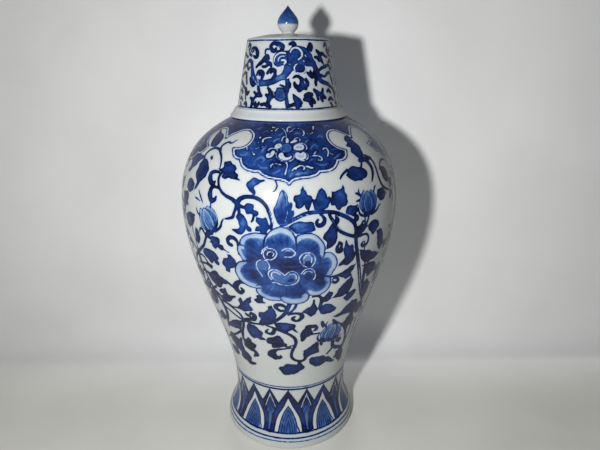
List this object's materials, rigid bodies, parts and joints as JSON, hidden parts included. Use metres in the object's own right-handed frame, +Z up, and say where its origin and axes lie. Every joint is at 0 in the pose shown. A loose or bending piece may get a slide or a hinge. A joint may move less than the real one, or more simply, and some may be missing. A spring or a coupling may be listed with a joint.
{
  "type": "lidded wine bottle vase",
  "caption": "Lidded porcelain wine bottle with a high round shoulder, waisted flared foot, tall tapered lift-off cover with bud finial, painted in blue flower scrolls.",
  "frame": {"origin": "centre of the foot ring, on the surface that the bottle stands on", "axes": "+Z up along the bottle's axis of turning; +X to the right and -Y towards the viewer of the main flower"},
  "size_m": [0.1966, 0.1966, 0.3992],
  "materials": {
    "painted_porcelain": "cobalt blue painting on white under a clear glossy glaze",
    "white_porcelain": "clear glossy glaze over white porcelain",
    "bare_porcelain": "unglazed fired porcelain",
    "blue_washed_porcelain": "cobalt blue wash under a clear glossy glaze"
  },
  "bodies": {
    "bottle": {"foot_section": "painted_porcelain", "belly_section": "painted_porcelain", "shoulder_section": "painted_porcelain", "neck_ring": "white_porcelain"},
    "cover": {"cover_cap": "painted_porcelain", "cover_rim": "white_porcelain", "cover_centring_tube": "bare_porcelain", "cover_finial": "blue_washed_porcelain"}
  },
  "joints": [
    {"name": "cover_lift", "type": "slide", "parent": "bottle", "child": "cover", "axis": [0, 0, 1], "range_m": [0, 0.06]}
  ]
}
